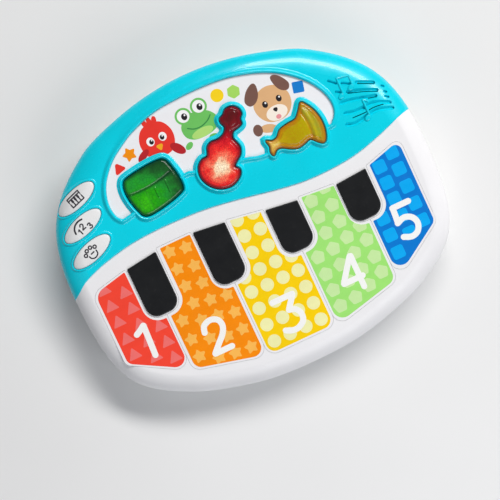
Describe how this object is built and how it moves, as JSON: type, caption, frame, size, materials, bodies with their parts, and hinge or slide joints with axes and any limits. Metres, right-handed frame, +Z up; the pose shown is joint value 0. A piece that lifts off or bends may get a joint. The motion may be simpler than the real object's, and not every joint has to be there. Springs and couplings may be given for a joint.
{
  "type": "toy electronic keyboard",
  "caption": "Small child's electronic keyboard with wide coloured hinged keys, light-up instrument buttons, mode buttons, a speaker and a battery bay.",
  "frame": {"origin": "on the table under the middle of the case", "axes": "+X along the keys from the low notes to the high ones, +Y from the player to the back, +Z up"},
  "size_m": [0.289, 0.236, 0.053],
  "materials": {
    "teal_plastic": "glossy, moulded",
    "white_plastic": "glossy, moulded",
    "base_plastic": "fine spark texture",
    "print_white": "satin, printed",
    "green_clear": "translucent, polished",
    "red_clear": "translucent, polished",
    "amber_clear": "translucent, polished",
    "red_key": "satin, printed on white",
    "orange_key": "satin, printed on white",
    "yellow_key": "satin, printed on white",
    "green_key": "satin, printed on white",
    "blue_key": "satin, printed on white",
    "black_plastic": "glossy",
    "board_green": "solder mask on glass-fibre board",
    "chip_black": "moulded epoxy",
    "grey_rubber": "silicone",
    "foot_rubber": "matte",
    "frame_plastic": "moulded",
    "steel": "plated",
    "nickel": "nickel plate",
    "cell_jacket": "lacquered steel can",
    "speaker_paper": "paper cone",
    "ferrite": "sintered ferrite",
    "led_clear": "clear epoxy",
    "ribbon_grey": "flat cable"
  },
  "bodies": {
    "case": {"upper_cover": "teal_plastic", "keyboard_cover": "white_plastic", "bottom_cover": "base_plastic", "graphic_plate": "print_white", "black_key_1": "black_plastic", "black_key_2": "black_plastic", "black_key_3": "black_plastic", "black_key_4": "black_plastic", "foot_1": "foot_rubber", "foot_2": "foot_rubber", "foot_3": "foot_rubber", "foot_4": "foot_rubber", "case_screw_1": "steel", "case_screw_2": "steel", "case_screw_3": "steel", "case_screw_4": "steel", "case_screw_5": "steel", "case_screw_6": "steel", "case_screw_7": "steel", "case_screw_8": "steel", "power_switch_body": "chip_black", "main_board": "board_green", "sound_chip": "chip_black", "mode_board": "board_green", "key_board": "board_green", "key_frame": "frame_plastic", "key_pivot_rod": "steel", "key_dome_strip": "grey_rubber", "instrument_dome_pad": "grey_rubber", "mode_dome_pad": "grey_rubber", "led_drum": "led_clear", "led_violin": "led_clear", "led_horn": "led_clear", "speaker_frame": "steel", "speaker_magnet": "ferrite", "battery_1": "cell_jacket", "battery_2": "cell_jacket", "battery_3": "cell_jacket", "battery_spring_1": "nickel", "battery_spring_2": "nickel", "battery_spring_3": "nickel", "battery_contact_1": "nickel", "battery_contact_2": "nickel", "battery_contact_3": "nickel", "key_ribbon_cable": "ribbon_grey"},
    "key_1": {"key_1": "red_key"},
    "key_2": {"key_2": "orange_key"},
    "key_3": {"key_3": "yellow_key"},
    "key_4": {"key_4": "green_key"},
    "key_5": {"key_5": "blue_key"},
    "drum_button": {"drum_button": "green_clear"},
    "violin_button": {"violin_button": "red_clear"},
    "horn_button": {"horn_button": "amber_clear"},
    "mode_button_piano": {"mode_button_piano": "white_plastic"},
    "mode_button_numbers": {"mode_button_numbers": "white_plastic"},
    "mode_button_animal": {"mode_button_animal": "white_plastic"},
    "power_switch_knob": {"power_switch_knob": "black_plastic"},
    "battery_door": {"battery_door": "base_plastic", "battery_door_screw": "steel"},
    "speaker_cone": {"speaker_cone": "speaker_paper"}
  },
  "joints": [
    {"name": "key_1_hinge", "type": "hinge", "parent": "case", "child": "key_1", "pos_m": [0, 0.015, 0.035], "axis": [1, 0, 0], "range_deg": [0, 1.6], "stiffness_Nm_per_rad": 3, "springref_deg": -1.15, "deforming": ["key_dome_strip"]},
    {"name": "key_2_hinge", "type": "hinge", "parent": "case", "child": "key_2", "pos_m": [0, 0.015, 0.035], "axis": [1, 0, 0], "range_deg": [0, 1.6], "stiffness_Nm_per_rad": 3, "springref_deg": -1.15, "deforming": ["key_dome_strip"]},
    {"name": "key_3_hinge", "type": "hinge", "parent": "case", "child": "key_3", "pos_m": [0, 0.015, 0.035], "axis": [1, 0, 0], "range_deg": [0, 1.6], "stiffness_Nm_per_rad": 3, "springref_deg": -1.15, "deforming": ["key_dome_strip"]},
    {"name": "key_4_hinge", "type": "hinge", "parent": "case", "child": "key_4", "pos_m": [0, 0.015, 0.035], "axis": [1, 0, 0], "range_deg": [0, 1.6], "stiffness_Nm_per_rad": 3, "springref_deg": -1.15, "deforming": ["key_dome_strip"]},
    {"name": "key_5_hinge", "type": "hinge", "parent": "case", "child": "key_5", "pos_m": [0, 0.015, 0.035], "axis": [1, 0, 0], "range_deg": [0, 1.6], "stiffness_Nm_per_rad": 3, "springref_deg": -1.15, "deforming": ["key_dome_strip"]},
    {"name": "drum_button_press", "type": "slide", "parent": "case", "child": "drum_button", "axis": [0, 0, -1], "range_m": [0, 0.002], "stiffness_N_per_m": 600, "springref_m": -0.001, "deforming": ["instrument_dome_pad"]},
    {"name": "violin_button_press", "type": "slide", "parent": "case", "child": "violin_button", "axis": [0, 0, -1], "range_m": [0, 0.002], "stiffness_N_per_m": 600, "springref_m": -0.001, "deforming": ["instrument_dome_pad"]},
    {"name": "horn_button_press", "type": "slide", "parent": "case", "child": "horn_button", "axis": [0, 0, -1], "range_m": [0, 0.002], "stiffness_N_per_m": 600, "springref_m": -0.001, "deforming": ["instrument_dome_pad"]},
    {"name": "mode_button_piano_press", "type": "slide", "parent": "case", "child": "mode_button_piano", "axis": [0, 0, -1], "range_m": [0, 0.0015], "stiffness_N_per_m": 600, "springref_m": -0.001, "deforming": ["mode_dome_pad"]},
    {"name": "mode_button_numbers_press", "type": "slide", "parent": "case", "child": "mode_button_numbers", "axis": [0, 0, -1], "range_m": [0, 0.0015], "stiffness_N_per_m": 600, "springref_m": -0.001, "deforming": ["mode_dome_pad"]},
    {"name": "mode_button_animal_press", "type": "slide", "parent": "case", "child": "mode_button_animal", "axis": [0, 0, -1], "range_m": [0, 0.0015], "stiffness_N_per_m": 600, "springref_m": -0.001, "deforming": ["mode_dome_pad"]},
    {"name": "power_switch_slide", "type": "slide", "parent": "case", "child": "power_switch_knob", "axis": [1, 0, 0], "range_m": [0, 0.008]},
    {"name": "battery_door_removal", "type": "slide", "parent": "case", "child": "battery_door", "axis": [0, 0, -1], "range_m": [0, 0.03]},
    {"name": "speaker_cone_travel", "type": "slide", "parent": "case", "child": "speaker_cone", "axis": [0, 0, 1], "range_m": [-0.0004, 0.0004], "stiffness_N_per_m": 800}
  ]
}
